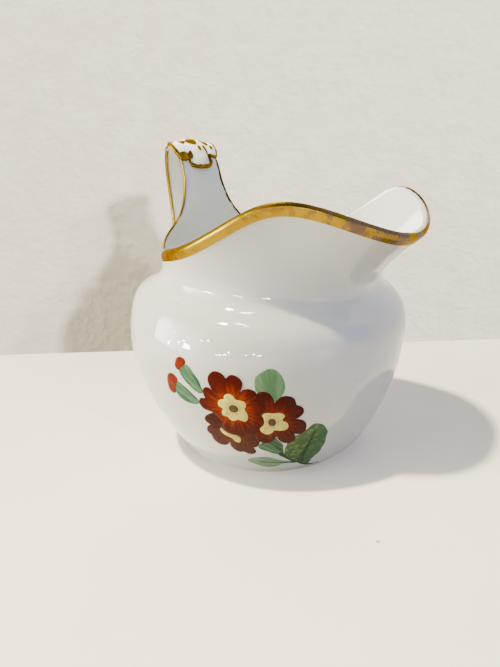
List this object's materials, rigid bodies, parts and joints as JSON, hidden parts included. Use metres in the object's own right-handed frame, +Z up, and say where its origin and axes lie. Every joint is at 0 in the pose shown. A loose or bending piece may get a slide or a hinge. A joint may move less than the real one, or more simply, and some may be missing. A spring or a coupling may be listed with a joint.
{
  "type": "cream jug",
  "caption": "Squat globular porcelain cream jug with a wavy flared rim, broad pouring lip, high ribbon handle with a leaf thumb rest, and gilt lines.",
  "frame": {"origin": "centre of the jug's footprint box on the surface it stands on", "axes": "+Z up; +X towards the pouring lip; the handle is at -X; the jug is the same on both sides of the XZ plane"},
  "size_m": [0.102, 0.0932, 0.1043],
  "materials": {
    "glazed_porcelain": "clear glossy glaze over white porcelain",
    "foot_porcelain": "wiped, half-matt porcelain of the foot ring",
    "gilding": "burnished gold, worn thin in places",
    "enamel_red": "clear glossy glaze over white porcelain",
    "enamel_yellow": "clear glossy glaze over white porcelain",
    "enamel_green": "clear glossy glaze over white porcelain",
    "enamel_brown": "clear glossy glaze over white porcelain"
  },
  "bodies": {
    "root": {"jug_body": "glazed_porcelain", "foot_ring": "foot_porcelain", "handle_strap": "glazed_porcelain", "thumb_rest_leaf": "glazed_porcelain", "rim_gilding": "gilding", "strap_gilding_front_right": "gilding", "strap_gilding_back_right": "gilding", "strap_gilding_front_left": "gilding", "strap_gilding_back_left": "gilding", "leaf_gilding": "gilding"}
  },
  "joints": []
}
